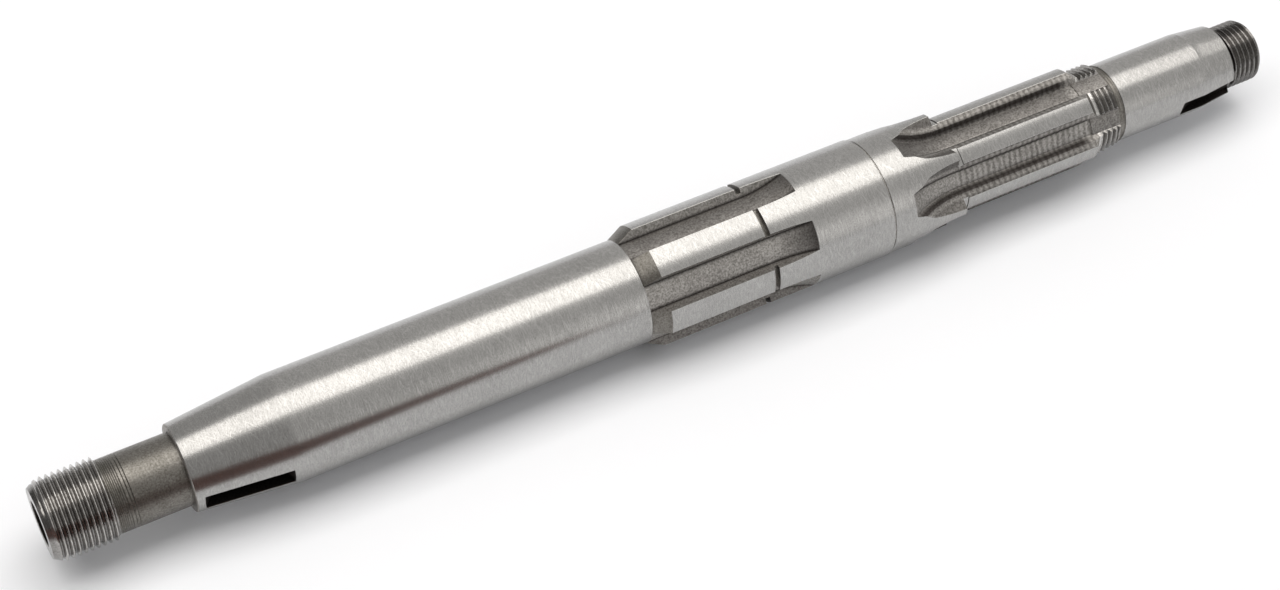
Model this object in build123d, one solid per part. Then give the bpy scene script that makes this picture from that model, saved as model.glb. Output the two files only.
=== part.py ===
from build123d import *
from math import acos, asin, cos, degrees, hypot, radians, sin, sqrt, tan
import os

# A gearbox main shaft, made from one steel bar. It lies along X, with its clutch end at -X and +Z up.
# The origin is under the middle of its length, on the surface that its widest collar touches.
# All sizes are millimetres, and stations are counted from the near face at the clutch end.

# Clutch end: thread, plain neck and taper
near_thread_d = 19.05
near_thread_length = 14.6
near_thread_chamfer_length = 2.4
near_thread_chamfer_depth = 1.4
near_neck_d = 17.04
near_neck_length = 17.2
near_relief_width = 0.6
near_relief_depth = 0.16
taper_rate = 0.2
taper_length = 24.0
taper_rim = 0.2

# The long plain cylinder that carries gears
barrel_d = 25.4
barrel_length = 85.95

# Collar with six parallel teeth and a groove for a snap ring
collar_d = 29.5
collar_length = 63.9
collar_rim = 0.1
lead_in_slope = 2.0
ring_groove_place = 31.2
ring_groove_width = 1.3
ring_groove_d = 26.9
parallel_tooth_width = 6.86
parallel_root_d = 25.0
parallel_hob_d = 60.0
parallel_full_lengths = (31.85, 32.05, 32.55, 32.2, 31.95, 32.35)

# Sleeve stretch, behind a fine turned line
sleeve_d = 29.0
sleeve_length = 20.3
line_width = 0.4
line_depth = 0.15

# Six slanted teeth, ground on their lands
land_d = 25.26
slanted_length = 40.35
slanted_root_d = 19.7
slanted_floor_width = 3.86
slanted_foot_height = 0.05
slanted_foot_width = 6.14
slanted_knee_height = 1.23
slanted_knee_width = 6.0
slanted_land_width = 3.96
slanted_crest_width = 2.0
slanted_hob_d = 48.4
slanted_full_places = (1.5, 0.1, 0.8, 1.2, 0.5, 1.0)
land_relief_width = 1.55
land_relief_depth = 0.2

# Nut thread, cut over the ends of the slanted teeth
nut_thread_d = 22.225
nut_thread_length = 6.7
nut_thread_chamfer = 0.5
nut_floor_d = 20.2
nut_floor_length = 8.25

# Far end: journal, short taper, neck and thread
journal_d = 20.0
journal_length = 26.5
journal_relief_width = 1.9
journal_relief_depth = 0.2
far_taper_length = 8.8
far_neck_d = 14.6
far_neck_length = 1.7
far_thread_d = 15.875
far_thread_length = 8.0
far_thread_chamfer = 0.95

# Bore for the push rod, with a turning centre at each end
bore_d = 7.0
centre_d = 10.4
centre_angle = 60.0

# Key seats, both sunk by the same round cutter in one line along the shaft
key_cutter_d = 22.2
key_width = 4.76
near_key_place = 11.4
near_key_floor = 4.85
far_key_length = 15.65
far_key_floor = 7.55

# Turn of each pattern about the axis, from +Y towards +Z
tooth_count = 6
parallel_turn = 114.3
slanted_turn = 124.5
key_turn = 189.9

# Cuts run this far past the surfaces that they open
clear = 1.0
run_out_steps = 7

taper_start = near_thread_length + near_neck_length
barrel_start = taper_start + taper_length
collar_start = barrel_start + barrel_length
sleeve_start = collar_start + collar_length
slanted_start = sleeve_start + sleeve_length
nut_thread_start = slanted_start + slanted_length
journal_start = nut_thread_start + nut_thread_length
far_taper_start = journal_start + journal_length
far_shoulder = far_taper_start + far_taper_length
far_thread_start = far_shoulder + far_neck_length
overall_length = far_thread_start + far_thread_length
half_pitch = 180.0 / tooth_count


def near_end_outline():
    """Corners of the turned clutch end as (station, radius), up to the barrel."""
    thread_r = near_thread_d / 2
    neck_r = near_neck_d / 2
    relief_r = neck_r - near_relief_depth
    relief_start = taper_start - near_relief_width
    taper_r = (barrel_d - taper_rate * taper_length) / 2
    return [
        (0, 0),
        (0, thread_r - near_thread_chamfer_depth),
        (near_thread_chamfer_length, thread_r),
        (near_thread_length, thread_r),
        (near_thread_length + thread_r - neck_r, neck_r),
        (relief_start, neck_r),
        (relief_start, relief_r),
        (taper_start, relief_r),
        (taper_start, taper_r - taper_rim),
        (taper_start + taper_rim, taper_r + taper_rim * taper_rate / 2),
        (barrel_start, barrel_d / 2),
    ]


def collar_outline():
    """Corners of the collar and the sleeve stretch, from the barrel to the sleeve's end face."""
    barrel_r = barrel_d / 2
    collar_r = collar_d / 2
    sleeve_r = sleeve_d / 2
    ring_r = ring_groove_d / 2
    ring_start = collar_start + ring_groove_place
    ring_end = ring_start + ring_groove_width
    line_end = sleeve_start + line_width
    return [
        (collar_start, barrel_r),
        (collar_start + lead_in_slope * (collar_r - barrel_r), collar_r),
        (ring_start, collar_r),
        (ring_start, ring_r),
        (ring_end, ring_r),
        (ring_end, collar_r),
        (sleeve_start - collar_rim, collar_r),
        (sleeve_start, collar_r - collar_rim),
        (sleeve_start, sleeve_r - line_depth),
        (line_end, sleeve_r - line_depth),
        (line_end, sleeve_r),
        (slanted_start, sleeve_r),
    ]


def far_end_outline():
    """Corners from the lands of the slanted teeth to the far face."""
    land_r = land_d / 2
    land_relief_r = land_r - land_relief_depth
    land_relief_end = slanted_start + land_relief_width
    nut_r = nut_thread_d / 2
    journal_r = journal_d / 2
    journal_relief_r = journal_r - journal_relief_depth
    ground_start = journal_start + journal_relief_width
    shoulder_r = journal_r - taper_rate * far_taper_length / 2
    neck_r = far_neck_d / 2
    thread_r = far_thread_d / 2
    return [
        (slanted_start, land_relief_r),
        (land_relief_end, land_relief_r),
        (land_relief_end, land_r),
        (nut_thread_start + nut_r - land_r, land_r),
        (nut_thread_start, nut_r),
        (journal_start - nut_thread_chamfer, nut_r),
        (journal_start, nut_r - nut_thread_chamfer),
        (journal_start, journal_relief_r),
        (ground_start, journal_relief_r),
        (ground_start, journal_r),
        (far_taper_start, journal_r),
        (far_shoulder, shoulder_r),
        (far_shoulder, neck_r),
        (far_thread_start, neck_r),
        (far_thread_start + thread_r - neck_r, thread_r),
        (overall_length - far_thread_chamfer, thread_r),
        (overall_length, thread_r - far_thread_chamfer),
        (overall_length, 0),
    ]


def turned_bar():
    corners = near_end_outline() + collar_outline() + far_end_outline()
    return revolve(make_face(Polyline(*corners, close=True)), axis=Axis.X)


def bore():
    """The straight bore, with a cone at each end as turning centres leave it."""
    bore_r = bore_d / 2
    centre_r = centre_d / 2
    cone = (centre_r - bore_r) / tan(radians(centre_angle / 2))
    corners = [
        (0, 0),
        (0, centre_r),
        (cone, bore_r),
        (overall_length - cone, bore_r),
        (overall_length, centre_r),
        (overall_length, 0),
    ]
    return revolve(make_face(Polyline(*corners, close=True)), axis=Axis.X)


def beside_tooth(radius, width):
    """A point on a tooth's side, as its radius and its angle from the middle of the next groove."""
    return radius, half_pitch - degrees(asin(width / 2 / radius))


def groove_face(side, lift, station):
    """Section of a groove that opens towards +Y, from points on its side, floor first.

    The floor is round about the axis. As the hob lifts, each point keeps its angle and its radius grows.
    """
    floor_r = side[0][0] + lift
    edge_r, edge_angle = side[-1]
    mouth = ((edge_r + clear) / cos(radians(edge_angle)), edge_angle)
    upper = []
    for radius, angle in side + [mouth]:
        reach = radius + lift
        upper.append((reach * cos(radians(angle)), reach * sin(radians(angle))))
    lower = [(y, -z) for y, z in upper]
    walls = Polyline(*upper, *reversed(lower))
    floor = ThreePointArc(lower[0], (floor_r, 0), upper[0])
    plane = Plane(origin=(station, 0, 0), x_dir=(0, 1, 0), z_dir=(1, 0, 0))
    return plane * make_face([walls, floor])


def straight_groove(side, start, end):
    return extrude(groove_face(side, 0, start), amount=end - start, dir=(1, 0, 0))


def groove_end(side, station, towards, hob_d):
    """The curved end of a groove, where the hob climbs out of full depth through the outer surface."""
    hob_r = hob_d / 2
    climb = side[-1][0] - side[0][0] + clear / 2
    whole_turn = acos(1 - climb / hob_r)
    faces = []
    for step in range(run_out_steps + 1):
        turn = whole_turn * step / run_out_steps
        lift = hob_r * (1 - cos(turn))
        faces.append(groove_face(side, lift, station + towards * hob_r * sin(turn)))
    return loft(faces, ruled=True)


def parallel_grooves():
    """Grooves between teeth with parallel sides, open beside the barrel and run out in the collar."""
    side = [
        beside_tooth(parallel_root_d / 2, parallel_tooth_width),
        beside_tooth(collar_d / 2, parallel_tooth_width),
    ]
    grooves = []
    for place in range(tooth_count):
        full_length = parallel_full_lengths[place % len(parallel_full_lengths)]
        full_end = collar_start + full_length
        groove = straight_groove(side, collar_start, full_end)
        groove += groove_end(side, full_end, 1, parallel_hob_d)
        grooves.append(Rot(X=parallel_turn + (2 * place - 1) * half_pitch) * groove)
    return grooves


def slanted_grooves():
    """Grooves between teeth with slanted sides, run out in the sleeve and open through the nut thread."""
    root_r = slanted_root_d / 2
    foot_r = hypot(root_r + slanted_foot_height, slanted_foot_width / 2)
    knee_r = hypot(root_r + slanted_knee_height, slanted_knee_width / 2)
    tooth_side = [
        beside_tooth(foot_r, slanted_foot_width),
        beside_tooth(knee_r, slanted_knee_width),
        beside_tooth(land_d / 2, slanted_land_width),
        beside_tooth(sleeve_d / 2, slanted_crest_width),
    ]
    floor_angle = degrees(asin(slanted_floor_width / 2 / root_r))
    side = [(root_r, floor_angle)] + tooth_side
    nut_side = [(nut_floor_d / 2, floor_angle)] + tooth_side
    nut_floor_start = journal_start - nut_floor_length
    grooves = []
    for place in range(tooth_count):
        full_start = slanted_start + slanted_full_places[place % len(slanted_full_places)]
        groove = straight_groove(side, full_start, nut_floor_start)
        groove += groove_end(side, full_start, -1, slanted_hob_d)
        groove += straight_groove(nut_side, nut_floor_start, journal_start)
        grooves.append(Rot(X=slanted_turn + (2 * place - 1) * half_pitch) * groove)
    return grooves


def key_cutter_path(start, end, floor):
    """Space that the round key cutter takes, with its middle moving from start to end above the floor."""
    cutter_r = key_cutter_d / 2
    height = floor + cutter_r
    disc = Cylinder(cutter_r, key_width, rotation=(90, 0, 0))
    path = Pos(start, 0, height) * disc
    if end > start:
        path += Pos(end, 0, height) * disc
        path += Pos((start + end) / 2, 0, height) * Box(end - start, key_width, key_cutter_d)
    return Rot(X=key_turn - 90) * path


def key_seats():
    """A round seat in the clutch taper, and a shallow seat that runs out through the far shoulder."""
    near_middle = taper_start + near_key_place
    near_seat = key_cutter_path(near_middle, near_middle, near_key_floor)
    cutter_r = key_cutter_d / 2
    edge_height = sqrt((journal_d / 2) ** 2 - (key_width / 2) ** 2)
    rise = edge_height - far_key_floor
    run_out = sqrt(cutter_r ** 2 - (cutter_r - rise) ** 2)
    far_start = far_shoulder - far_key_length + run_out
    far_seat = key_cutter_path(far_start, far_shoulder, far_key_floor)
    beyond = Pos(far_shoulder, 0, 0) * Box(
        overall_length, 2 * collar_d, 2 * collar_d, align=(Align.MIN, Align.CENTER, Align.CENTER)
    )
    return [near_seat, far_seat - beyond]


def main_shaft():
    shaft = turned_bar()
    for cut in [bore()] + parallel_grooves() + slanted_grooves() + key_seats():
        shaft -= cut
    return Pos(-overall_length / 2, 0, collar_d / 2) * shaft


os.makedirs("parts", exist_ok=True)
export_step(main_shaft(), "parts/main_shaft.step")
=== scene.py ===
# %% [markdown]
# A gearbox main shaft, made from one steel bar.
#
# This lesson dresses the shaft for a product photograph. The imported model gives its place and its
# outer size. The shaft is modelled again here with the small forms that a solid leaves out: threads,
# the shallow rings that a turning tool leaves, and broken edges. Then it gets its steel finishes, a
# white table, soft light and a camera.

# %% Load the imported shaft
from math import atan2, asin, ceil, cos, degrees, hypot, pi, radians, sin, sqrt, tan

import bmesh
import bpy
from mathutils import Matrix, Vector


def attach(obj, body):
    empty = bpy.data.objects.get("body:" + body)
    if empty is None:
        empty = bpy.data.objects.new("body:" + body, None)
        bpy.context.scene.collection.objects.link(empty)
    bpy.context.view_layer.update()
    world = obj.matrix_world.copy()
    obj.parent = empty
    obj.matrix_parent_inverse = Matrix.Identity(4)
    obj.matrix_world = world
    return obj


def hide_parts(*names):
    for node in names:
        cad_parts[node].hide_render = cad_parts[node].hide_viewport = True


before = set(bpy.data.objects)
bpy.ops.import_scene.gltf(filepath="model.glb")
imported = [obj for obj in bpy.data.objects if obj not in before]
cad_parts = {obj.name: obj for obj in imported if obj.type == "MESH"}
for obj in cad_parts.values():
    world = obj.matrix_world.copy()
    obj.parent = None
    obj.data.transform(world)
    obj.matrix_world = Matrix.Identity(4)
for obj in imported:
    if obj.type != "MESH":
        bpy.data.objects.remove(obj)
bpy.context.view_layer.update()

# %% [markdown]
# Sizes. A turner reads a shaft as a list of shoulders, so every place along it is a station: the
# distance in millimetres from the face at the clutch end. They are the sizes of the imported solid, apart
# from the broken edges and two places. The clutch thread runs out in less than half the length, and the far
# thread runs up to its shoulder, as in the photograph, where the solid has a plain neck.

# %% Sizes of the clutch end and the long cylinder
near_thread_r = 9.525
near_thread_end = 14.6
near_chamfer_length = 2.4
near_chamfer_depth = 1.4
near_neck_r = 8.52
taper_start = 31.8
taper_start_r = 10.3
near_relief_width = 0.6
near_relief_depth = 0.16
barrel_start = 55.8
barrel_r = 12.7

# %% Sizes of the collar, the sleeve stretch and both sets of teeth
collar_start = 141.75
collar_r = 14.75
lead_in_slope = 2.0
ring_groove_start = 172.95
ring_groove_end = 174.25
ring_groove_r = 13.45
sleeve_start = 205.65
sleeve_r = 14.5
line_width = 0.4
line_depth = 0.15
slanted_start = 225.95
land_r = 12.63
land_relief_end = 227.5
land_relief_r = 12.43
tooth_count = 6
half_pitch = 180.0 / tooth_count

# %% Sizes of the far end and the bore
nut_thread_start = 266.3
nut_thread_r = 11.1125
nut_chamfer = 0.5
journal_start = 273.0
journal_relief_end = 274.9
journal_relief_r = 9.8
journal_r = 10.0
far_taper_start = 299.5
far_shoulder = 308.3
far_shoulder_r = 9.12
far_neck_r = 7.3
far_thread_r = 7.9375
far_chamfer = 0.95
shaft_end = 318.0
bore_r = 3.5
centre_r = 5.2
centre_half_angle = 30.0
centre_length = (centre_r - bore_r) / tan(radians(centre_half_angle))
print("length:", shaft_end, "mm, widest:", 2 * collar_r, "mm")

# %% [markdown]
# Rings. A turned shaft is a ring of vertices that is drawn out along the axis, a little further and
# a little wider or narrower each time. In the editor that is E for extrude, then scale and move. The
# same two steps are one helper here. A vertex keeps its angle when the shape is plain, so turning
# needs only a list of corners as (station, radius).

# %% Draw a ring of edges out along the axis
def spot(vert, station, radius, angle):
    """Puts a vertex at a station, a radius, and an angle in degrees from +Y towards +Z."""
    vert.co = (station, radius * cos(radians(angle)), radius * sin(radians(angle)))


def angle_of(vert):
    return degrees(atan2(vert.co.z, vert.co.y))


def draw_out(bm, edges, move):
    """Extrudes an open ring of edges, moves each new vertex, and gives back the new open ring."""
    made = bmesh.ops.extrude_edge_only(bm, edges=edges)["geom"]
    verts = {item for item in made if isinstance(item, bmesh.types.BMVert)}
    for vert in verts:
        move(vert)
    rims = [item for item in made if isinstance(item, bmesh.types.BMEdge)]
    return [edge for edge in rims if edge.verts[0] in verts and edge.verts[1] in verts]


def turn(bm, edges, corners):
    """Draws a ring through (station, radius) corners, as a lathe tool would follow them."""
    for station, radius in corners:
        edges = draw_out(bm, edges, lambda vert: spot(vert, station, radius, angle_of(vert)))
    return edges


# %% [markdown]
# Numbered rings. Where grooves are cut along the shaft, a ring isn't a circle any more. Each vertex
# then has a number, and its place comes from a list of (station, radius, angle) with one entry per
# number. An extrusion copies the number, so the next ring can use the next list.

# %% Start and follow numbered rings
stretches = []


def new_stretch():
    """Each stretch of the shaft is a small mesh of its own, because Blender draws out a small one faster."""
    stretches.append(bmesh.new())
    return stretches[-1]


def circle(station, radius, segments):
    return [(station, radius, 360.0 * place / segments) for place in range(segments)]


def numbered_ring(bm, spots):
    number = bm.verts.layers.int.new("number")
    made = bmesh.ops.create_circle(bm, cap_ends=False, radius=1.0, segments=len(spots))["verts"]
    for place, vert in enumerate(made):
        vert[number] = place
        spot(vert, *spots[place])
    return list({edge for vert in made for edge in vert.link_edges})


def follow(bm, edges, rings):
    number = bm.verts.layers.int.get("number")
    for spots in rings:
        edges = draw_out(bm, edges, lambda vert: spot(vert, *spots[vert[number]]))
    return edges


def between(start, end, count):
    return [start + (end - start) * step / count for step in range(count + 1)]


# %% [markdown]
# Threads. A screw thread is its own profile swept round and along at once. In the editor this is the
# Screw or Spin tool with a shift along the axis. Here one line of vertices, several pitches long, is
# spun through a full turn and moves on by one pitch, so its end meets its start one thread further.
# The bar's chamfer and its neck then cut the sweep off. A true circle is left where they are thinner than
# the thread's valleys, which is so everywhere but at the far neck.

# %% Profile of a thread
thread_pitch = 25.4 / 18
thread_depth = 0.9
thread_profile = [
    (-0.34, 0.42),
    (-0.13, 0.05),
    (-0.05, 0.0),
    (0.05, 0.0),
    (0.13, 0.05),
    (0.34, 0.42),
    (0.58, 0.86),
    (thread_pitch / 2, 0.9),
    (thread_pitch - 0.58, 0.86),
]
profile_start, start_cut = thread_profile[0]
sweep_merge = 0.002
hair = 0.0005


def thread_cut(along):
    """Depth of the thread below its crest, at a distance along the axis from a crest."""
    along = (along - profile_start) % thread_pitch + profile_start
    corners = thread_profile + [(thread_pitch + profile_start, start_cut)]
    for (a, cut_a), (b, cut_b) in zip(corners, corners[1:]):
        if a <= along <= b:
            return cut_a + (cut_b - cut_a) * (along - a) / (b - a)
    return 0.0


def outline_at(station, corners):
    """Radius of an outline of (station, radius) corners at a station."""
    for (a, radius_a), (b, radius_b) in zip(corners, corners[1:]):
        if a <= station <= b:
            return radius_a + (radius_b - radius_a) * (station - a) / (b - a)
    return corners[0][1] if station < corners[0][0] else corners[-1][1]


# %% Sweep a thread between two stations
def thread(crest_r, crest_at, hand, corners, segments):
    """A thread on a bar with that outline. crest_at is a crest's station at angle 0."""
    bm = new_stretch()
    start, end = corners[0][0], corners[-1][0]
    first = ceil((start - crest_at) / thread_pitch) - 3
    last = ceil((end - crest_at) / thread_pitch) + 2
    line = []
    for turn_number in range(first, last):
        for along, cut in thread_profile:
            station = crest_at + turn_number * thread_pitch + along
            line.append(bm.verts.new((station, crest_r - cut, 0.0)))
    edges = [bm.edges.new(pair) for pair in zip(line, line[1:])]
    step = hand * thread_pitch / segments
    bmesh.ops.spin(bm, geom=line + edges, cent=(0, 0, 0), axis=(1, 0, 0), dvec=(step, 0, 0),
                   angle=2 * pi, steps=segments, use_merge=False, use_duplicate=False)
    bmesh.ops.remove_doubles(bm, verts=bm.verts, dist=sweep_merge)
    for vert in bm.verts:
        station = min(max(vert.co.x, start), end)
        radius = min(hypot(vert.co.y, vert.co.z), outline_at(station, corners))
        spot(vert, station, radius, angle_of(vert))
    bmesh.ops.remove_doubles(bm, verts=bm.verts, dist=hair)
    bmesh.ops.dissolve_degenerate(bm, edges=bm.edges, dist=hair)
    return bm


# %% Cut the left-hand thread of the clutch end
near_thread_segments = 168
near_crest_at = -0.718
near_run_out = 0.45
near_lip = 0.05
near_run_out_end = near_thread_end + near_run_out
near_outline = [
    (0.0, near_thread_r - near_chamfer_depth),
    (near_chamfer_length, near_thread_r),
    (near_thread_end, near_thread_r),
    (near_run_out_end - near_lip, near_neck_r),
    (near_run_out_end, near_neck_r),
]
near_thread = thread(near_thread_r, near_crest_at, -1, near_outline, near_thread_segments)
print("clutch thread:", len(near_thread.faces), "faces")

# %% [markdown]
# Neck and taper. The neck is as the turning tool left it, with a few shallow rings where the threading
# tool was drawn out, and a narrow undercut in the corner. The taper starts with a small broken edge.

# %% Turn the neck up to the taper
ring_half_width = 0.13
ring_cut = 0.11
neck_rings = (15.35, 15.75, 16.15, 16.6, 17.05, 17.5, 18.0, 18.8, 19.5)
corners = []
for place in neck_rings:
    corners += [(place - ring_half_width, near_neck_r), (place, near_neck_r - ring_cut)]
    corners += [(place + ring_half_width, near_neck_r)]
taper_rim = 0.2
taper_slope = 0.1
taper_plain_end = taper_start + 0.6
relief_start = taper_start - near_relief_width
corners += [
    (relief_start, near_neck_r),
    (relief_start, near_neck_r - near_relief_depth),
    (taper_start, near_neck_r - near_relief_depth),
    (taper_start, taper_start_r - taper_rim),
    (taper_start + taper_rim, taper_start_r + taper_rim * taper_slope),
    (taper_plain_end, taper_start_r + (taper_plain_end - taper_start) * taper_slope),
]
neck = new_stretch()
turn(neck, numbered_ring(neck, circle(near_run_out_end, near_neck_r, near_thread_segments)), corners)
print("neck:", len(neck.faces), "faces, rings at", neck_rings)

# %% [markdown]
# Key seats. A round cutter sinks into the shaft and leaves a slot with straight walls and a floor that
# curves up at its ends. The section is drawn as the floor, two walls, a hair-thin broken edge, and the
# rest of the circle. Where the floor comes up to the surface the slot closes by itself.

# %% Section with a key seat
key_turn = 189.9
key_cutter_r = 11.1
key_half_width = 2.38
key_edge = 0.07
key_floor_steps = 4
key_wall_steps = 4
key_circle_steps = 140


def keyed_ring(station, radius, floor):
    """Spots of a section whose key seat has its floor that far from the axis."""
    height = min(floor, radius)
    half = min(key_half_width, sqrt(radius ** 2 - height ** 2))
    top = sqrt(radius ** 2 - half ** 2)
    edge = min(key_edge, (top - height) / 3)
    points = [(half * step / key_floor_steps, height)
              for step in range(-key_floor_steps, key_floor_steps + 1)]
    wall = [(half, height + (top - edge - height) * step / key_wall_steps)
            for step in range(1, key_wall_steps + 1)]
    points += wall
    start = degrees(asin((half + edge) / radius))
    arc = between(start, 360.0 - start, key_circle_steps)
    points += [(radius * sin(radians(turn)), radius * cos(radians(turn))) for turn in arc]
    points += [(-side, up) for side, up in reversed(wall)]
    return [(station, hypot(side, up), key_turn + degrees(atan2(side, up))) for side, up in points]


# %% Sink the half-round seat in the taper
near_key_at = 43.2
near_key_floor = 4.85
seat_margin = 0.3
seat_end_reach = 0.35


def taper_radius(station):
    return taper_start_r + (barrel_r - taper_start_r) * (station - taper_start) / (barrel_start - taper_start)


def near_floor(station):
    return near_key_floor + key_cutter_r - sqrt(key_cutter_r ** 2 - (station - near_key_at) ** 2)


def meeting(inside, outside, depth_at):
    """Station between the two at which a depth below the surface comes to nothing."""
    for _ in range(40):
        middle = (inside + outside) / 2
        if depth_at(middle) > 0:
            inside = middle
        else:
            outside = middle
    return outside


def near_depth(station):
    return taper_radius(station) - near_floor(station)


seat_start = meeting(near_key_at, near_key_at - key_cutter_r, near_depth)
seat_end = meeting(near_key_at, near_key_at + key_cutter_r, near_depth)
stations = between(seat_start, seat_start + seat_end_reach, 5) + between(seat_start + 0.5, seat_end - 0.5, 34)
stations += between(seat_end - seat_end_reach, seat_end, 5)
rings = [keyed_ring(s, taper_radius(s), near_floor(s)) for s in stations]
seat_join = seat_start - seat_margin
plain_start = keyed_ring(seat_join, taper_radius(seat_join), collar_r)
joins = [(taper_plain_end, seat_join)]
barrel = new_stretch()
seat_rim = follow(barrel, numbered_ring(barrel, plain_start), rings)
print("clutch key seat from", round(seat_start, 2), "to", round(seat_end, 2), "mm")

# %% Grind the taper's last part and the long cylinder
barrel_end = collar_start - 1.5
barrel_edge = 0.1
barrel_corners = [
    (seat_end + seat_margin, taper_radius(seat_end + seat_margin)),
    (barrel_start - barrel_edge, taper_radius(barrel_start - barrel_edge)),
    (barrel_start + barrel_edge, barrel_r),
]
barrel_corners += [(station, barrel_r) for station in between(barrel_start + 10, barrel_end, 8)]
turn(barrel, seat_rim, barrel_corners)
print("barrel:", len(barrel.faces), "faces")

# %% [markdown]
# Grooves between teeth. A hob cuts along the shaft and then climbs out through the surface, so each
# groove ends in a curved run-out. As the hob lifts, every point on the groove's side keeps its angle
# and its radius grows by the lift. Whatever comes out above the surface is cut off there.

# %% Section with six grooves
edge_break = 0.05
floor_steps = 8
land_steps = 9


def angle_up(side, radius):
    """Angle of a groove's side at a radius, from (radius, angle) corners, floor first."""
    return outline_at(radius, side)


def grooved_ring(station, middle, outer, floor_r, side, lifts):
    """Spots of a section with a groove every 60 degrees from middle. lifts has one lift per groove."""
    grooves = []
    for lift in lifts:
        reach = max(outer - lift, floor_r)
        edge = min(edge_break, (reach - floor_r) / 3)
        points = []
        for radius, _ in side:
            radius = min(max(radius, floor_r), reach - edge)
            points.append((min(radius + lift, outer), angle_up(side, radius)))
        points.append((outer, angle_up(side, reach) + degrees(edge / outer)))
        grooves.append(points)
    spots = []
    for place, points in enumerate(grooves):
        centre = middle + 2 * half_pitch * place
        floor_angle = points[0][1]
        spots += [(station, radius, centre - angle) for radius, angle in reversed(points[1:])]
        spots += [(station, points[0][0], centre + turn)
                  for turn in between(-floor_angle, floor_angle, floor_steps)]
        spots += [(station, radius, centre + angle) for radius, angle in points[1:]]
        land_start = centre + points[-1][1]
        land_end = centre + 2 * half_pitch - grooves[(place + 1) % tooth_count][-1][1]
        spots += [(station, outer, turn) for turn in between(land_start, land_end, land_steps)[1:-1]]
    return spots


# %% Sizes of the parallel grooves
parallel_middle = 84.3
parallel_floor_r = 12.5
parallel_half_tooth = 3.43
parallel_hob_r = 30.0
parallel_full_ends = [collar_start + full for full in (31.85, 32.05, 32.55, 32.2, 31.95, 32.35)]
parallel_side = [(radius, half_pitch - degrees(asin(parallel_half_tooth / radius)))
                 for radius in (parallel_floor_r, 12.75, 13.1, 13.5, 14.1, collar_r)]
parallel_run_out = sqrt(parallel_hob_r ** 2 - (parallel_hob_r - collar_r + parallel_floor_r) ** 2)


def climb(distance, hob_r):
    """How far the hob has lifted at a distance past full depth."""
    if distance <= 0:
        return 0.0
    return hob_r - sqrt(hob_r ** 2 - min(distance, hob_r) ** 2)


def parallel_ring(station, outer, floor_r=parallel_floor_r):
    lifts = [climb(station - end, parallel_hob_r) for end in parallel_full_ends]
    return grooved_ring(station, parallel_middle, outer, floor_r, parallel_side, lifts)


# %% Cut the parallel grooves and the snap ring's groove
lead_in_end = collar_start + lead_in_slope * (collar_r - barrel_r)
foot_line_width = 0.1
foot_line_depth = 0.06
rings = [
    parallel_ring(collar_start - foot_line_width, barrel_r, barrel_r),
    parallel_ring(collar_start, barrel_r - foot_line_depth, barrel_r - foot_line_depth),
    parallel_ring(collar_start, barrel_r - foot_line_depth),
]
rings += [parallel_ring(s, outline_at(s, [(collar_start, barrel_r), (lead_in_end, collar_r)]))
          for s in between(collar_start + foot_line_width, lead_in_end, 6)]
rings += [parallel_ring(s, collar_r)
          for s in between(lead_in_end + edge_break, ring_groove_start - edge_break, 6)]
rings += [
    parallel_ring(ring_groove_start, collar_r - edge_break),
    parallel_ring(ring_groove_start, ring_groove_r),
    parallel_ring(ring_groove_end, ring_groove_r),
    parallel_ring(ring_groove_end, collar_r - edge_break),
    parallel_ring(ring_groove_end + edge_break, collar_r),
]
groove_ends = sorted(end + parallel_run_out for end in parallel_full_ends)
stations = between(ring_groove_end + 0.3, groove_ends[0] - 0.15, 34) + groove_ends
rings += [parallel_ring(s, collar_r) for s in stations]
plain_start = parallel_ring(collar_start - 0.5, barrel_r, barrel_r)
joins.append((barrel_end, collar_start - 0.5))
collar = new_stretch()
parallel_rim = follow(collar, numbered_ring(collar, plain_start), rings)
print("parallel grooves end at", [round(end, 1) for end in groove_ends], "mm")

# %% Turn the collar's end, the fine line and the sleeve stretch
sleeve_plain_end = sleeve_start + 4.5
collar_end_edge = 0.1
fine_edge = 0.04
turn(collar, parallel_rim, [
    (groove_ends[-1] + 0.5, collar_r),
    (sleeve_start - 5.0, collar_r),
    (sleeve_start - collar_end_edge, collar_r),
    (sleeve_start, collar_r - collar_end_edge),
    (sleeve_start, sleeve_r - line_depth),
    (sleeve_start + line_width, sleeve_r - line_depth),
    (sleeve_start + line_width, sleeve_r - fine_edge),
    (sleeve_start + line_width + fine_edge, sleeve_r),
    (sleeve_plain_end, sleeve_r),
])

# %% Sizes of the slanted grooves
slanted_middle = 94.5
slanted_floor_r = 9.85
slanted_hob_r = 24.2
slanted_full_starts = [slanted_start + place for place in (1.5, 0.1, 0.8, 1.2, 0.5, 1.0)]
nut_floor_start = 264.75
nut_floor_r = 10.1


def beside_tooth(height, half_width):
    radius = hypot(height, half_width)
    return radius, half_pitch - degrees(asin(half_width / radius))


slanted_corners = [
    (slanted_floor_r, degrees(asin(1.93 / slanted_floor_r))),
    beside_tooth(9.9, 3.07),
    beside_tooth(11.08, 3.0),
    beside_tooth(sqrt(land_r ** 2 - 1.98 ** 2), 1.98),
    beside_tooth(sqrt(sleeve_r ** 2 - 1.0 ** 2), 1.0),
]
side_radii = [slanted_floor_r, nut_floor_r, slanted_corners[1][0], 10.75, 11.1, slanted_corners[2][0]]
side_radii += [11.62, 12.05, land_r, 13.2, 13.8, sleeve_r]
slanted_side = [(radius, outline_at(radius, slanted_corners)) for radius in side_radii]
print("slanted side:", [(round(radius, 2), round(angle, 2)) for radius, angle in slanted_side])


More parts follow.
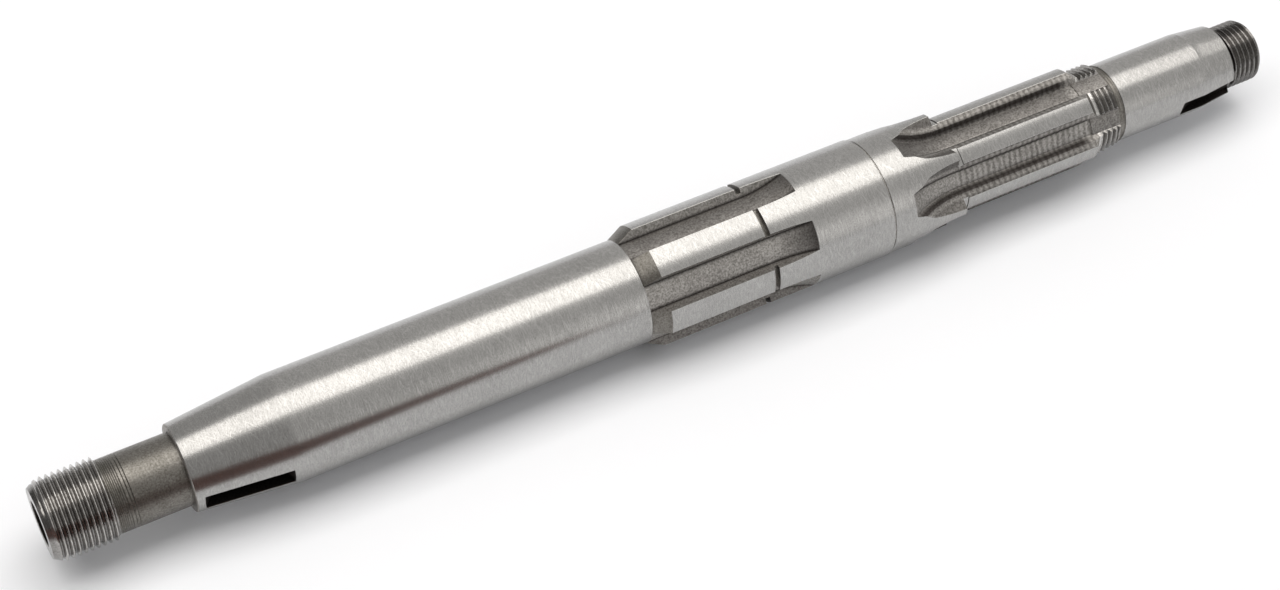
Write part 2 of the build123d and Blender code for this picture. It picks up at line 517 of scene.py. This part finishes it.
# %% Cut the slanted grooves into the sleeve
def slanted_ring(station, outer, floor_r=slanted_floor_r):
    lifts = [climb(start - station, slanted_hob_r) for start in slanted_full_starts]
    return grooved_ring(station, slanted_middle, outer, floor_r, slanted_side, lifts)


slanted_run_out = sqrt(slanted_hob_r ** 2 - (slanted_hob_r - sleeve_r + slanted_floor_r) ** 2)
run_out_starts = sorted(start - slanted_run_out for start in slanted_full_starts)
stations = run_out_starts + between(run_out_starts[-1] + 0.15, slanted_start - fine_edge, 40)
rings = [slanted_ring(s, sleeve_r) for s in stations]
rings += [
    slanted_ring(slanted_start, sleeve_r - fine_edge),
    slanted_ring(slanted_start, land_relief_r),
    slanted_ring(land_relief_end, land_relief_r),
    slanted_ring(land_relief_end, land_r - fine_edge),
    slanted_ring(land_relief_end + fine_edge, land_r),
]
plain_start = slanted_ring(run_out_starts[0] - 0.5, sleeve_r)
joins.append((sleeve_plain_end, run_out_starts[0] - 0.5))
far_teeth = new_stretch()
slanted_rim = follow(far_teeth, numbered_ring(far_teeth, plain_start), rings)
print("slanted grooves start at", [round(start, 1) for start in run_out_starts], "mm")

# %% Run the slanted teeth on to the nut thread
tooth_end = nut_thread_start + nut_thread_r - land_r
rings = [slanted_ring(s, land_r) for s in between(land_relief_end + 1.0, nut_floor_start, 12)]
rings += [slanted_ring(nut_floor_start, land_r, nut_floor_r), slanted_ring(tooth_end, land_r, nut_floor_r)]
rings += [slanted_ring(tooth_end + 0.8, land_r - 0.8, nut_floor_r),
          slanted_ring(nut_thread_start, nut_thread_r, nut_floor_r)]
slanted_rim = follow(far_teeth, slanted_rim, rings)

# %% [markdown]
# The nut thread is cut over the ends of the teeth only. The rings lean along the shaft by one pitch per
# turn, so the crests run along edges of the mesh. On the floor of one groove they lean back to where
# they began.

# %% Cut the nut thread over the tooth ends
nut_crest_at = 268.306
nut_plain_end = 266.85
nut_valley_at = 0.3
lean_reach = 0.75
floor_half_angle = slanted_corners[0][1]
nut_outline = [(nut_thread_start, nut_thread_r), (journal_start - nut_chamfer, nut_thread_r),
               (journal_start, nut_thread_r - nut_chamfer)]


def lean(angle):
    """How far a ring leans along the shaft at an angle."""
    off = (angle - slanted_middle + 180.0) % 360.0 - 180.0
    if 180.0 - abs(off) < floor_half_angle:
        off = (180.0 - floor_half_angle) * (180.0 - abs(off)) / floor_half_angle * (1 if off > 0 else -1)
    return thread_pitch * off / 360.0


def nut_ring(along):
    spots = []
    for _, radius, angle in slanted_ring(along, nut_thread_r, nut_floor_r):
        station = min(max(along + lean(angle), nut_thread_start), journal_start)
        started = min(max((station - nut_plain_end) / nut_valley_at, 0.0), 1.0)
        crest = nut_thread_r - started * thread_cut(station - lean(angle) - nut_crest_at)
        spots.append((station, min(radius, crest, outline_at(station, nut_outline)), angle))
    return spots


turns = range(-2, 5)
alongs = sorted(nut_crest_at + thread_pitch * count + along
                for count in turns for along, _ in thread_profile)
rings = [nut_ring(along) for along in alongs
         if nut_thread_start - lean_reach < along < journal_start + lean_reach]
slanted_rim = follow(far_teeth, slanted_rim, rings)
print("nut thread:", len(rings), "rings")

# %% Turn the relief and grind the journal
relief_rings = (273.7, 274.5)
relief_ring_half_width = 0.15
relief_ring_cut = 0.06
journal_middle = 282.2
journal_join = 290.7
journal_corners = [(journal_start, journal_relief_r)]
for place in relief_rings:
    journal_corners += [(place - relief_ring_half_width, journal_relief_r)]
    journal_corners += [(place, journal_relief_r - relief_ring_cut)]
    journal_corners += [(place + relief_ring_half_width, journal_relief_r)]
journal_corners += [
    (journal_relief_end, journal_relief_r),
    (journal_relief_end, journal_r - edge_break),
    (journal_relief_end + edge_break, journal_r),
    (journal_middle, journal_r),
    (journal_join, journal_r),
]
turn(far_teeth, slanted_rim, journal_corners)
print("slanted teeth, nut thread and journal:", len(far_teeth.faces), "faces")

# %% Sink the shallow seat that runs out through the far shoulder
far_run_out_start = far_shoulder + 0.3
far_key_floor = 7.55
far_key_at = 299.23
far_taper_edge = 0.04
far_taper_edge_start = far_taper_start - 0.15
far_ring_turn = 17.5
far_shoulder_edge = 0.08
far_taper_second = 301.2
far_neck_end = far_run_out_start - 0.1


def far_radius(station):
    return outline_at(station, [
        (0.0, journal_r), (far_taper_edge_start, journal_r),
        (far_taper_start, journal_r - far_taper_edge), (far_shoulder, far_shoulder_r)])


def far_floor(station):
    return far_key_floor + climb(far_key_at - station, key_cutter_r)


def far_depth(station):
    return far_radius(station) - far_floor(station)


seat_start = meeting(far_key_at, far_key_at - key_cutter_r * 0.99, far_depth)
stations = between(seat_start, seat_start + seat_end_reach, 4) + between(seat_start + 0.6, far_key_at, 16)
stations += [far_taper_edge_start, far_taper_start]
stations += between(far_taper_second, far_shoulder - far_shoulder_edge, 5)
rings = [keyed_ring(s, far_radius(s), far_floor(s)) for s in stations]
rings += [keyed_ring(far_shoulder, far_shoulder_r - far_shoulder_edge, far_key_floor)]
seat_join = seat_start - seat_margin
joins.append((journal_join, seat_join))
far_seat = new_stretch()
plain_start = keyed_ring(seat_join, journal_r, collar_r)
seat_rim = follow(far_seat, numbered_ring(far_seat, plain_start), rings)
ring_size = len(rings[-1])
even = [(far_shoulder, far_neck_r, key_turn - far_ring_turn + 360.0 * place / ring_size)
        for place in range(ring_size)]
seat_rim = follow(far_seat, seat_rim, [even])
turn(far_seat, seat_rim, [(far_neck_end, far_neck_r)])
joins.append((far_neck_end, far_run_out_start))
print("far key seat starts at", round(seat_start, 2), "mm")

# %% Cut the far thread and join it on
far_thread_segments = 144
far_crest_at = 310.756
far_lip = 0.1
far_outline = [
    (far_run_out_start, far_neck_r),
    (far_run_out_start + far_lip, far_neck_r),
    (far_run_out_start + far_lip + far_thread_r - far_neck_r, far_thread_r),
    (shaft_end - far_chamfer, far_thread_r),
    (shaft_end, far_thread_r - far_chamfer),
]
far_thread = thread(far_thread_r, far_crest_at, 1, far_outline, far_thread_segments)
print("far thread:", len(far_thread.faces), "faces")

# %% [markdown]
# Faces and bore. Each end face has a 60 degree centre, which the lathe's points held, and the bore runs
# from one centre to the other.

# %% Turn the end faces and centres, and bore through
centre_edge_height = 0.15
centre_edge_length = 0.1
near_bore_end = centre_length + 1.0
far_bore_end = shaft_end - centre_length - 1.0
near_face = new_stretch()
near_face_rim = circle(0.0, near_thread_r - near_chamfer_depth, near_thread_segments)
turn(near_face, numbered_ring(near_face, near_face_rim), [
    (0.0, centre_r + centre_edge_height),
    (centre_edge_length, centre_r),
    (centre_length, bore_r),
    (near_bore_end, bore_r),
])
far_face = new_stretch()
far_face_rim = circle(shaft_end, far_thread_r - far_chamfer, far_thread_segments)
turn(far_face, numbered_ring(far_face, far_face_rim), [
    (shaft_end, centre_r + centre_edge_height),
    (shaft_end - centre_edge_length, centre_r),
    (shaft_end - centre_length, bore_r),
    (far_bore_end, bore_r),
])
joins.append((near_bore_end, far_bore_end))

# %% [markdown]
# One bar. The stretches are put in one mesh, vertices that lie in the same place are merged, and each
# pair of open rings is bridged. A ring keeps its own spacing of vertices, which is why neighbours are
# bridged on plain round stretches, where the spacing doesn't show.
#
# One bridge has a fault: at the far neck the thread's ring isn't a true circle, so the bridge to it leaves
# edges that don't have two faces, a slit 0.1 wide, and faces that cross the bar and close its bore. The
# line that is printed counts these edges.

# %% Join the stretches and turn the faces outwards
join_merge = 0.0008


def rim(bm, station):
    """The open ring of edges at a station."""
    return [edge for edge in bm.edges if edge.is_boundary
            and all(abs(vert.co.x - station) < 0.001 for vert in edge.verts)]


shaft = bmesh.new()
for stretch in stretches:
    part_mesh = bpy.data.meshes.new("stretch")
    stretch.to_mesh(part_mesh)
    stretch.free()
    shaft.from_mesh(part_mesh)
    bpy.data.meshes.remove(part_mesh)
bmesh.ops.remove_doubles(shaft, verts=shaft.verts, dist=join_merge)
for start, end in joins:
    bmesh.ops.bridge_loops(shaft, edges=rim(shaft, start) + rim(shaft, end))
bmesh.ops.dissolve_degenerate(shaft, edges=shaft.edges, dist=join_merge)
bmesh.ops.recalc_face_normals(shaft, faces=shaft.faces)
open_edges = [edge for edge in shaft.edges if len(edge.link_faces) != 2]
print("open or shared edges:", len(open_edges))

# %% Smooth the round faces and keep the corners sharp
corner_angle = radians(24.0)
for face in shaft.faces:
    face.smooth = True
for edge in shaft.edges:
    if len(edge.link_faces) == 2 and edge.calc_face_angle(0.0) > corner_angle:
        edge.smooth = False

# %% [markdown]
# Finishes. The shaft is one steel, but its surfaces were left by different tools, and each tool leaves
# its own light: a grinding wheel, a lathe, a hob and a thread cutter.

# %% Sort the faces by the tool that made them
GROUND, TURNED, HOBBED, THREADED, FEED_MARKED, BORE_SHADE = range(6)
skin = 0.06
ring_groove_margin = 0.15
end_face_rim = 0.2


def groove_at(angle, middle):
    """A groove's number, counted from the one at middle, and the angle from that groove's own middle."""
    number, off = divmod(angle - middle + half_pitch, 2 * half_pitch)
    return int(number) % tooth_count, off - half_pitch


def cut_finish(station, angle):
    """The hob's feed marks show on the sides of the slanted teeth and in every other floor."""
    if not slanted_start < station < nut_floor_start:
        return HOBBED
    number, off = groove_at(angle, slanted_middle)
    return HOBBED if number % 2 == 0 and abs(off) < slanted_corners[0][1] else FEED_MARKED


def finish_of(face):
    centre = face.calc_center_median()
    station, radius = centre.x, hypot(centre.y, centre.z)
    # The bore and the centres get a nearly black finish: painted shade inside the hole.
    if radius < centre_r - 0.05:
        return BORE_SHADE
    in_nut_thread = nut_thread_start < station < journal_start and radius > nut_floor_r + 0.02
    if station < near_run_out_end or in_nut_thread or station > far_run_out_start:
        return THREADED if radius > centre_r + end_face_rim else TURNED
    if radius < near_neck_r + 0.01 and station < taper_start or radius < bore_r + 2.0:
        return TURNED
    outer = outline_at(station, [
        (taper_start, taper_start_r), (barrel_start, barrel_r), (collar_start, barrel_r),
        (lead_in_end, collar_r), (sleeve_start, collar_r), (sleeve_start + 0.01, sleeve_r),
        (slanted_start, sleeve_r), (slanted_start + 0.01, land_relief_r), (land_relief_end, land_relief_r),
        (land_relief_end + 0.01, land_r), (tooth_end, land_r), (nut_thread_start, nut_thread_r),
        (journal_start, nut_thread_r), (journal_start + 0.01, journal_relief_r),
        (journal_relief_end, journal_relief_r), (journal_relief_end + 0.01, journal_r),
        (far_taper_start, journal_r), (far_shoulder, far_shoulder_r)])
    if ring_groove_start < station < ring_groove_end and radius > ring_groove_r - ring_groove_margin:
        return TURNED
    if abs(radius - outer) > skin:
        return cut_finish(station, degrees(atan2(centre.z, centre.y)))
    if collar_start < station < lead_in_end or journal_start < station < journal_relief_end:
        return TURNED
    return TURNED if tooth_end < station < nut_thread_start else GROUND


counts = [0, 0, 0, 0, 0, 0]
for face in shaft.faces:
    face.material_index = finish_of(face)
    counts[face.material_index] += 1
# The last count is the bore, whose near-black finish is painted shade.
print("faces ground, turned, hobbed, threaded, feed marked and oiled:", counts)

# %% [markdown]
# Oil film and painted shade. Thread valleys, the corners and floors of the grooves and the key seats are
# coloured darker: partly a film of oil that a cloth doesn't reach, partly painted shade where little light
# gets in or a face turns from the light. Each vertex gets a number for it, from 0 where the steel is left
# bare to 1 in the corner.

# %% Note where oil film and painted shade go
# Each thread: start, end, least radius, crest radius, film and painted shade on the crest, film and painted
# shade in the valley
thread_places = (
    (-0.01, near_run_out_end, 0.0, near_thread_r, 0.0, 0.42),
    (nut_plain_end, journal_start, nut_floor_r + 0.05, nut_thread_r, 0.2, 0.5),
    (far_shoulder + 0.05, shaft_end, 0.0, far_thread_r, 0.5, 0.55),
)
seat_places = (
    (near_key_at - key_cutter_r, near_key_at + key_cutter_r),
    (far_key_at - key_cutter_r, far_shoulder),
)
seat_skin = 0.02
# Painted shade: the floor and walls of each key seat are coloured almost to the film colour, as the slot
# looks dark inside.
seat_shade = 0.93
seat_shade_depth = 0.04
# Painted shade on the groove floors under the nut thread.
nut_floor_shade = 0.35
corner_reach = 0.75
floor_edge = 0.1
slanted_floor_edge = 0.5
below_land = 0.3
# Painted shade in the parallel grooves: dark in the corner between wall and floor, one wall darker than the
# other, each groove's floor by how it faces the light, and the run-outs darker as the floor climbs out and
# turns from the light.
corner_shade = 0.9
upper_wall_shade = 0.1
lower_wall_shade = 0.5
parallel_floor_shade = (0.45, 0.05, 0.0, 0.3, 0.1, 0.2)
parallel_end_shade = (0.2, 0.75, 0.2, 0.3, 0.2, 0.3)
# Painted shade in the slanted grooves: each floor by how it faces the light, and a dark band up the foot of
# each side, listed by radius below.
slanted_floor_shade = (0.5, 0.1, 0.3, 0.4, 0.1, 0.3)
slanted_side_shade = [(slanted_floor_r, 0.35), (nut_floor_r, 0.6), (10.75, 0.9), (slanted_corners[2][0], 0.85),
                (11.75, 0.12), (12.1, 0.15), (12.5, 0.55)]


def ground_radius(station):
    """Radius of the round surface that a key seat is cut in."""
    return taper_radius(station) if station < barrel_start else far_radius(station)


def parallel_groove_shade(station, radius, number, off):
    """Oil film and painted shade in a parallel groove, darkest in its corner; each wall and floor has its own
    amount by how it faces the light. It follows the floor up the run-out.
    """
    lift = climb(station - parallel_full_ends[number], parallel_hob_r)
    radius = max(radius - lift, parallel_floor_r)
    wall = abs(off) - parallel_side[0][1]
    corner = corner_shade * (1.0 - hypot(radius * radians(wall), radius - parallel_floor_r) / corner_reach)
    if wall < -floor_edge:
        share = lift / (collar_r - parallel_floor_r)
        return max(corner, parallel_floor_shade[number] + parallel_end_shade[number] * share)
    return max(corner, lower_wall_shade if off > 0 else upper_wall_shade)


def slanted_groove_shade(station, radius, number, off):
    """Oil film and painted shade in a slanted groove. It is darkest where the side meets the floor."""
    radius -= climb(slanted_full_starts[number] - station, slanted_hob_r)
    if abs(off) > slanted_corners[0][1] - slanted_floor_edge:
        return outline_at(radius, slanted_side_shade)
    return slanted_floor_shade[number] if radius < land_r - below_land else 0.0


def film_and_shade_at(station, radius, angle):
    """How much oil film and painted shade there is at a place, from 0 to 1."""
    for start, end, least_r, crest_r, on_crest, in_valley in thread_places:
        if start < station < end and radius > least_r:
            return on_crest + (in_valley - on_crest) * min(max((crest_r - radius) / thread_depth, 0.0), 1.0)
    # Key seats: painted shade, darker with depth below the surface.
    for start, end in seat_places:
        if start < station < end:
            depth = ground_radius(station) - seat_skin - radius
            return seat_shade * min(max(depth / seat_shade_depth, 0.0), 1.0)
    if nut_floor_start < station < journal_start:
        return nut_floor_shade if radius < nut_floor_r + 0.05 else 0.0
    if collar_start < station < groove_ends[-1]:
        return parallel_groove_shade(station, radius, *groove_at(angle, parallel_middle))
    if run_out_starts[0] < station < nut_floor_start:
        return slanted_groove_shade(station, radius, *groove_at(angle, slanted_middle))
    return 0.0


# Each vertex keeps its number, which darkens its colour: oil film and painted shade.
film_and_shade = shaft.verts.layers.float.new("film_and_shade")
for vert in shaft.verts:
    vert[film_and_shade] = film_and_shade_at(vert.co.x, hypot(vert.co.y, vert.co.z), angle_of(vert))
print("vertices with dirt:", sum(vert[film_and_shade] > 0 for vert in shaft.verts))

# %% [markdown]
# Into the frame. So far the shaft lies on the X axis in millimetres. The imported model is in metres, its
# origin is under the middle of the shaft, and its widest collar touches the table.

# %% Put the shaft in the frame's place
to_metres = 0.001
bmesh.ops.translate(shaft, verts=shaft.verts, vec=(-shaft_end / 2, 0.0, collar_r))
bmesh.ops.scale(shaft, verts=shaft.verts, vec=(to_metres, to_metres, to_metres))
triangles = sum(len(face.verts) - 2 for face in shaft.faces)
mesh = bpy.data.meshes.new("main_shaft_steel")
shaft.to_mesh(mesh)
shaft.free()
piece = bpy.data.objects.new("main_shaft_steel", mesh)
bpy.context.scene.collection.objects.link(piece)
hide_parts("main_shaft")
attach(piece, "root")
print("triangles:", triangles)


# %% [markdown]
# Colours and nodes. A colour is written as the eye sees it, as an sRGB hex value, and one function turns
# it into the linear values that Blender calculates with. One more function adds a node, sets it and
# wires it, which keeps a material short enough to read from top to bottom.

# %% Colour and node helpers
def linear(hex_colour):
    """An sRGB hex colour as linear red, green, blue and alpha."""
    values = [int(hex_colour[place:place + 2], 16) / 255 for place in (1, 3, 5)]
    return [v / 12.92 if v <= 0.04045 else ((v + 0.055) / 1.055) ** 2.4 for v in values] + [1.0]


def add(tree, kind, inputs=None, **settings):
    """Adds a node with settings. inputs maps a socket's name or number to a value or an output."""
    node = tree.nodes.new(kind)
    for name, value in settings.items():
        setattr(node, name, value)
    for socket, value in (inputs or {}).items():
        if isinstance(value, bpy.types.NodeSocket):
            tree.links.new(value, node.inputs[socket])
        else:
            node.inputs[socket].default_value = value
    return node


# %% [markdown]
# Worked steel. Every finish here is the same bright steel with marks on it: rings that a tool leaves
# round the axis, a grain where the metal tore, feed marks where a hob stepped along, and soft clouds
# of handling and oil. Rings are noise squeezed along the axis and stretched round it. All widths are in
# millimetres, and the rings are wider than real grinding lines, which would be too fine to show. A wave
# texture of scale 1 repeats every 314.16 millimetres, and the noise mostly stays between 0.36 and 0.64.

# %% Make a worked steel
ring_length = 2.0
feed_pitch = 1.55
wave_unit = 314.16
noise_low = 0.36
noise_high = 0.64
# Colour of the oil film and painted shade in valleys, corners and key seats.
film_and_shade_colour = "#1d1614"
scratch_size = (0.0002, 0.0045, 0.0015)
scratch_turns = ((0.3, 0.5, 0.9), (1.4, -0.4, -0.7), (0.8, 0.2, 0.25))


def worked_steel(name, dark, light, roughness, ring, grain, cloud, relief, feed=(feed_pitch, 0.0),
                 film_and_shade_strength=0.0, scratch=0.0):
    """ring, grain, cloud and feed are (width in mm, share of the tone). relief is in mm."""
    material = bpy.data.materials.new(name)
    material.use_nodes = True
    tree = material.node_tree
    shader = tree.nodes["Principled BSDF"]
    shader.inputs["Metallic"].default_value = 1.0
    place = add(tree, "ShaderNodeTexCoord").outputs["Object"]
    round_axis = (1000.0 / ring[0], 1000.0 / ring_length, 1000.0 / ring_length)
    ring_place = add(tree, "ShaderNodeMapping", {"Vector": place, "Scale": round_axis}).outputs[0]
    noise = {"Vector": ring_place, "Scale": 1.0, "Detail": 3.0, "Roughness": 0.7}
    rings = add(tree, "ShaderNodeTexNoise", noise).outputs[0]
    noise = {"Vector": place, "Scale": 1000.0 / grain[0], "Detail": 2.0, "Roughness": 0.6}
    grains = add(tree, "ShaderNodeTexNoise", noise).outputs[0]
    noise = {"Vector": place, "Scale": 1000.0 / cloud[0], "Detail": 3.0, "Roughness": 0.6}
    clouds = add(tree, "ShaderNodeTexNoise", noise).outputs[0]
    waves = {"Vector": place, "Scale": wave_unit / feed[0], "Distortion": 2.5, "Detail": 2.0,
             "Detail Scale": 3.0}
    feeds = add(tree, "ShaderNodeTexWave", waves).outputs["Fac"]
    tone = 0.0
    marks = 0.0
    for pattern, (_, share) in ((rings, ring), (grains, grain), (feeds, feed), (clouds, cloud)):
        tone = add(tree, "ShaderNodeMath", {0: pattern, 1: share, 2: tone},
                   operation="MULTIPLY_ADD").outputs[0]
        marks = tone if pattern != clouds else marks
    total = ring[1] + grain[1] + cloud[1] + feed[1]
    for turned in scratch_turns if scratch else ():
        settings = {"Vector": place, "Rotation": turned, "Scale": scratch_size}
        scratch_place = add(tree, "ShaderNodeMapping", settings, vector_type="TEXTURE").outputs[0]
        noise = {"Vector": scratch_place, "Scale": 1.0, "Detail": 0.0}
        lines = add(tree, "ShaderNodeTexNoise", noise).outputs[0]
        thin = {"Value": lines, "From Min": 0.68, "From Max": 0.76}
        lines = add(tree, "ShaderNodeMapRange", thin).outputs[0]
        tone = add(tree, "ShaderNodeMath", {0: lines, 1: scratch, 2: tone},
                   operation="MULTIPLY_ADD").outputs[0]
    span = {"Value": tone, "From Min": noise_low * total, "From Max": noise_high * total}
    spread = add(tree, "ShaderNodeMapRange", span).outputs[0]
    bare = {0: spread, 6: linear(dark), 7: linear(light)}
    colour = add(tree, "ShaderNodeMix", bare, data_type="RGBA").outputs[2]
    # The vertex number mixes in the film colour: oil film and painted shade.
    film_and_shade = add(tree, "ShaderNodeAttribute", attribute_name="film_and_shade").outputs["Fac"]
    film_and_shade = add(tree, "ShaderNodeMath", {0: film_and_shade, 1: film_and_shade_strength}, operation="MULTIPLY").outputs[0]
    film_and_shade_mix = {0: film_and_shade, 6: colour, 7: linear(film_and_shade_colour)}
    colour = add(tree, "ShaderNodeMix", film_and_shade_mix, data_type="RGBA").outputs[2]
    tree.links.new(colour, shader.inputs["Base Color"])
    rough = add(tree, "ShaderNodeMapRange", {"Value": spread, "To Min": roughness[1], "To Max": roughness[0]})
    tree.links.new(rough.outputs[0], shader.inputs["Roughness"])
    bump = add(tree, "ShaderNodeBump", {"Height": marks, "Strength": 1.0, "Distance": relief / 1000.0})
    tree.links.new(bump.outputs[0], shader.inputs["Normal"])
    return material


# %% [markdown]
# What each finish gives the eye. Ground steel mirrors the softbox as a bright, slightly streaked band with
# a few scratches from handling. Turned steel is darker and duller. Hobbed steel is grey and grainy with no
# mirror in it, and where the hob's feed shows it has bars across. Cut threads flash on their crests. The
# bore and its centres are painted nearly black, as painted shade inside the hole.

# %% The finishes
ground_steel = worked_steel(
    "ground_steel", "#8f8e8c", "#aeadab", roughness=(0.22, 0.26), ring=(0.25, 1.0), grain=(0.3, 0.9),
    cloud=(7.0, 0.3), relief=0.01, scratch=0.25)
turned_steel = worked_steel(
    "turned_steel", "#5f5c56", "#888580", roughness=(0.34, 0.44), ring=(0.35, 0.4), grain=(0.4, 1.2),
    cloud=(4.0, 0.5), relief=0.025)
hobbed_steel = worked_steel(
    "hobbed_steel", "#7f7c78", "#b8b5b1", roughness=(0.46, 0.58), ring=(0.5, 0.1), grain=(0.45, 1.2),
    cloud=(4.0, 0.3), relief=0.035, film_and_shade_strength=1.0)
feed_marked_steel = worked_steel(
    "feed_marked_steel", "#7a7773", "#b2afab", roughness=(0.46, 0.58), ring=(0.5, 0.1), grain=(0.45, 1.0),
    cloud=(4.0, 0.3), relief=0.04, feed=(feed_pitch, 0.3), film_and_shade_strength=1.0)
thread_cut_steel = worked_steel(
    "thread_cut_steel", "#94928f", "#cac8c5", roughness=(0.16, 0.28), ring=(0.4, 0.3), grain=(0.5, 1.0),
    cloud=(4.0, 0.4), relief=0.008, film_and_shade_strength=1.0)
# Painted shade: the bore and centres are coloured nearly black, as the inside of the hole looks.
bore_shade_steel = worked_steel(
    "bore_shade_steel", "#1d1b1a", "#2b2827", roughness=(0.25, 0.4), ring=(0.4, 0.5), grain=(0.5, 1.0),
    cloud=(4.0, 0.4), relief=0.01)
for material in (ground_steel, turned_steel, hobbed_steel, thread_cut_steel, feed_marked_steel,
                 bore_shade_steel):
    mesh.materials.append(material)
print("finishes:", [material.name for material in mesh.materials])

# %% [markdown]
# The camera. The shaft runs from the front left to the back right. The camera looks down on it at 48
# degrees, and is turned 28 degrees from straight across the shaft towards its far end. A long lens keeps
# the far end nearly as large as the near end.

# %% Camera
camera_data = bpy.data.cameras.new("camera")
camera_data.sensor_width = 36.0
camera_data.lens = 70.29
camera = bpy.data.objects.new("camera", camera_data)
camera.location = (-0.1966, -0.3428, 0.4439)
camera.rotation_euler = Vector((0.3145, 0.5900, -0.7436)).to_track_quat("-Z", "Y").to_euler()
bpy.context.scene.collection.objects.link(camera)
bpy.context.scene.camera = camera
print("camera:", tuple(round(c, 4) for c in camera.location))

# %% [markdown]
# The table. It is a plain white sheet, pale enough to print as white in full light, and it keeps the
# soft shadow of the shaft.

# %% White table
bpy.ops.mesh.primitive_plane_add(size=6.0)
floor = bpy.context.object
floor.name = "white_table"
paper = bpy.data.materials.new("white_paper")
paper.use_nodes = True
paper_shader = paper.node_tree.nodes["Principled BSDF"]
paper_shader.inputs["Base Color"].default_value = linear("#f9fbff")
paper_shader.inputs["Roughness"].default_value = 1.0
paper_shader.inputs["Specular IOR Level"].default_value = 0.0
floor.data.materials.append(paper)

# %% [markdown]
# The light. A wide softbox hangs above the shaft and gives the long bright band on its upper side. A
# small, dimmer one beyond the far end carries the band on over the journal. The rest of the steel mirrors
# the room, which is dim towards the clutch end and pale towards the far end, with a soft window there.

# %% Softboxes
lamp_colour = (1.0, 0.97, 0.93)


def softbox(name, location, target, size, radiance, colour):
    """An area lamp with a set brightness, in units where 1 is white."""
    data = bpy.data.lights.new(name, "AREA")
    data.shape = "RECTANGLE"
    data.size, data.size_y = size
    data.energy = radiance * pi * size[0] * size[1]
    data.color = colour
    lamp = bpy.data.objects.new(name, data)
    lamp.location = location
    lamp.rotation_euler = (Vector(target) - Vector(location)).to_track_quat("-Z", "Y").to_euler()
    bpy.context.scene.collection.objects.link(lamp)


softbox("overhead_softbox", (-0.25, 0.09, 1.0), (-0.25, 0.09, 0.0), (1.9, 0.78), 2.12, lamp_colour)
softbox("right_softbox", (0.95, 0.09, 1.0), (0.95, 0.09, 0.0), (0.5, 0.78), 0.9, lamp_colour)

# %% The room
world = bpy.data.worlds.new("studio")
world.use_nodes = True
tree = world.node_tree
background = tree.nodes["Background"]
way = add(tree, "ShaderNodeTexCoord").outputs["Generated"]
across = add(tree, "ShaderNodeSeparateXYZ", {"Vector": way}).outputs["X"]
walls = {"Value": across, "From Min": -0.45, "From Max": 0.3, "To Min": 0.15, "To Max": 0.75}
room = add(tree, "ShaderNodeMapRange", walls, interpolation_type="SMOOTHSTEP")
narrow = add(tree, "ShaderNodeVectorMath", {0: way, 1: (2.6, 0.9, 0.9)}, operation="MULTIPLY")
window_place = {0: narrow.outputs["Vector"], 1: (1.0, -0.80, 0.22)}
off_window = add(tree, "ShaderNodeVectorMath", window_place, operation="DISTANCE")
glow = {"Value": off_window.outputs["Value"], "From Min": 0.45, "From Max": 0.05, "To Max": 0.75}
window = add(tree, "ShaderNodeMapRange", glow, interpolation_type="SMOOTHSTEP").outputs[0]
room = add(tree, "ShaderNodeMath", {0: room.outputs[0], 1: window}, operation="ADD")
warm = {0: 1.0, 6: (1.0, 0.985, 0.965, 1.0), 7: room.outputs[0]}
room = add(tree, "ShaderNodeMix", warm, data_type="RGBA", blend_type="MULTIPLY").outputs[2]
tree.links.new(room, background.inputs["Color"])
bpy.context.scene.world = world
bpy.context.scene.view_settings.view_transform = "Standard"

# %% [markdown]
# A dark card. Photographers of bright metal stand a low dark card beside it, so that the metal mirrors a
# dark line that gives it its round form. This one is brown, like the line in the photograph, and stands
# in front of the shaft's near half. Only reflections see it: the camera doesn't, and it throws no shadow.

# %% Dark card in front of the near half
# Each post: x, y, low edge, high edge, in metres
card_posts = [(-0.26, -0.045, 0.002, 0.033), (-0.13, -0.05, 0.002, 0.033), (-0.108, -0.058, 0.004, 0.032),
              (-0.067, -0.072, 0.009, 0.03), (-0.03, -0.095, 0.010, 0.031), (0.0, -0.118, 0.014, 0.032)]
card = bmesh.new()
foot = [card.verts.new((x, y, low)) for x, y, low, _ in card_posts]
edges = [card.edges.new(pair) for pair in zip(foot, foot[1:])]
made = bmesh.ops.extrude_edge_only(card, edges=edges)["geom"]
for vert in made:
    if isinstance(vert, bmesh.types.BMVert):
        vert.co.z = next(high for x, _, _, high in card_posts if abs(vert.co.x - x) < 1e-6)
card_mesh = bpy.data.meshes.new("black_card")
card.to_mesh(card_mesh)
card.free()
black_card = bpy.data.objects.new("black_card", card_mesh)
bpy.context.scene.collection.objects.link(black_card)
for kind in ("camera", "diffuse", "transmission", "volume_scatter", "shadow"):
    setattr(black_card, "visible_" + kind, False)
card_paint = bpy.data.materials.new("brown_black_card")
card_paint.use_nodes = True
card_shader = card_paint.node_tree.nodes["Principled BSDF"]
card_shader.inputs["Base Color"].default_value = linear("#71544d")
card_shader.inputs["Roughness"].default_value = 0.9
card_mesh.materials.append(card_paint)
print("card:", len(card_mesh.polygons), "faces")
